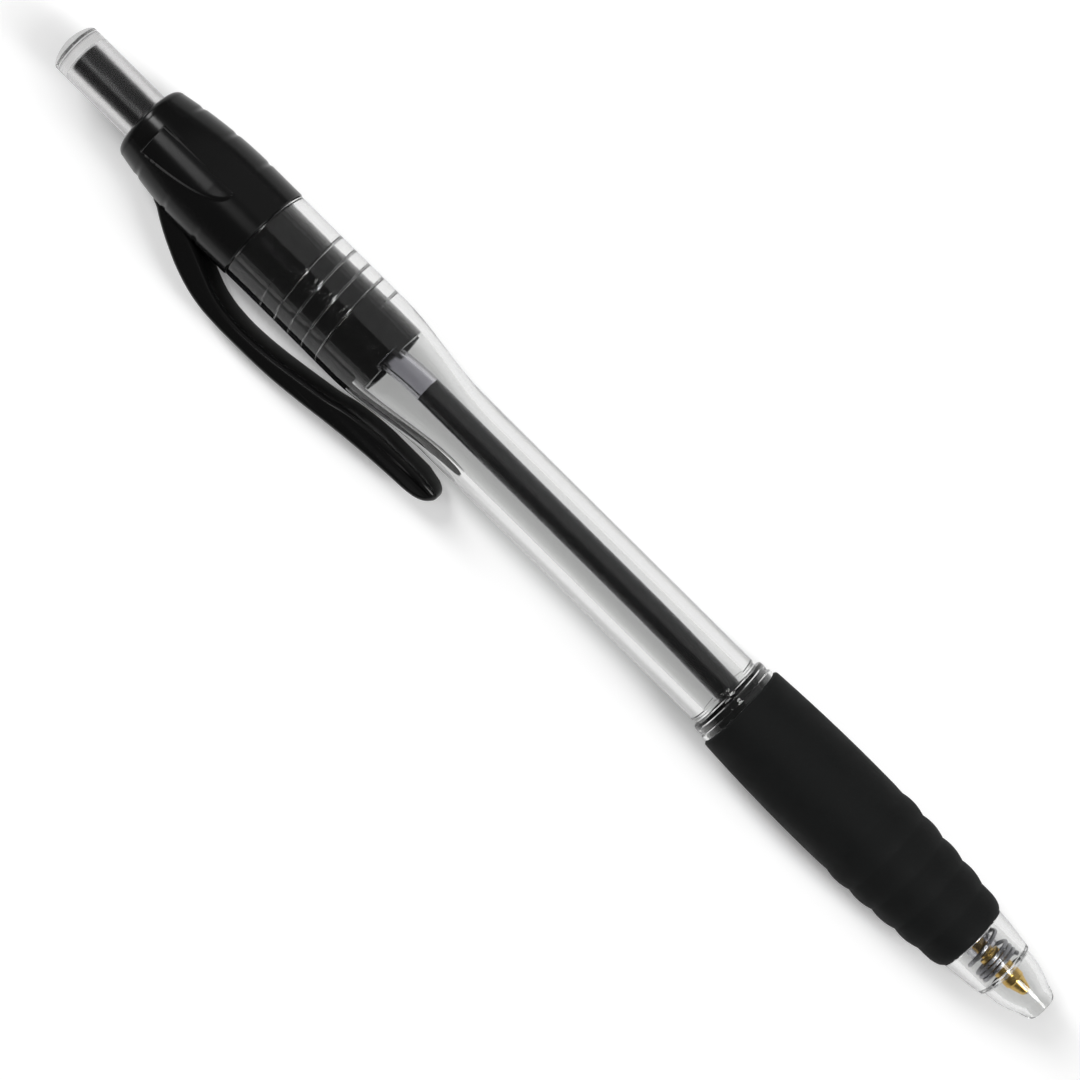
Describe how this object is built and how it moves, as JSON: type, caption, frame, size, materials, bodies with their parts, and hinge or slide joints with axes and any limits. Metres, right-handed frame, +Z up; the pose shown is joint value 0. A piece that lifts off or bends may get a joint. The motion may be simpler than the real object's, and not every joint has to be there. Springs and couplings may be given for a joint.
{
  "type": "ballpoint_pen",
  "caption": "Retractable pushbutton ballpoint pen with a clear barrel, ribbed black rubber grip, black clip collar and pocket clip, brass-tipped black refill and return spring.",
  "frame": {"origin": "centre of the pen's bounding box in X and Y, on the table it lies on", "axes": "+X along the pen toward the writing point, +Y across the pen away from the clip, +Z up from the table"},
  "size_m": [0.145, 0.0164, 0.0117],
  "materials": {
    "clear_plastic": "clear polished moulding",
    "black_rubber": "matte, soft",
    "black_gloss": "polished moulding",
    "black_satin": "satin moulding",
    "milky_plastic": "translucent extruded tube",
    "black_ink": "wet paste",
    "brass": "turned",
    "bright_steel": "polished",
    "spring_steel": "drawn wire"
  },
  "bodies": {
    "barrel": {"barrel": "clear_plastic", "grip_sleeve": "black_rubber", "clip_collar": "black_gloss", "return_spring": "spring_steel"},
    "button": {"push_button": "clear_plastic", "plunger": "black_satin"},
    "refill": {"refill_tube": "milky_plastic", "ink": "black_ink", "brass_point": "brass"},
    "rotor": {"cam_rotor": "black_satin"},
    "ball": {"point_ball": "bright_steel"},
    "clip": {"pocket_clip": "black_gloss"}
  },
  "joints": [
    {"name": "button_press", "type": "slide", "parent": "barrel", "child": "button", "axis": [1, 0, 0], "range_m": [0, 0.006], "stiffness_N_per_m": 340, "springref_m": -0.004},
    {"name": "refill_slide", "type": "slide", "parent": "barrel", "child": "refill", "axis": [1, 0, 0], "range_m": [0, 0.006], "deforming": ["return_spring"]},
    {"name": "rotor_turn", "type": "hinge", "parent": "refill", "child": "rotor", "pos_m": [-0.0335, 0.00233, 0.00585], "axis": [-1, 0, 0], "range_deg": [0, 22.5]},
    {"name": "ball_roll", "type": "hinge", "parent": "refill", "child": "ball", "pos_m": [0.06985, 0.00233, 0.00585], "axis": [0, 1, 0], "continuous": true},
    {"name": "clip_flex", "type": "hinge", "parent": "barrel", "child": "clip", "pos_m": [-0.0525, -0.00237, 0.00402], "axis": [0, 0.3619, -0.9322], "range_deg": [0, 4], "stiffness_Nm_per_rad": 2.5}
  ],
  "couplings": [
    {"joint": "refill_slide", "follows": "button_press", "ratio": 1},
    {"joint": "rotor_turn", "follows": "button_press", "rad_per_m": 65.44}
  ]
}
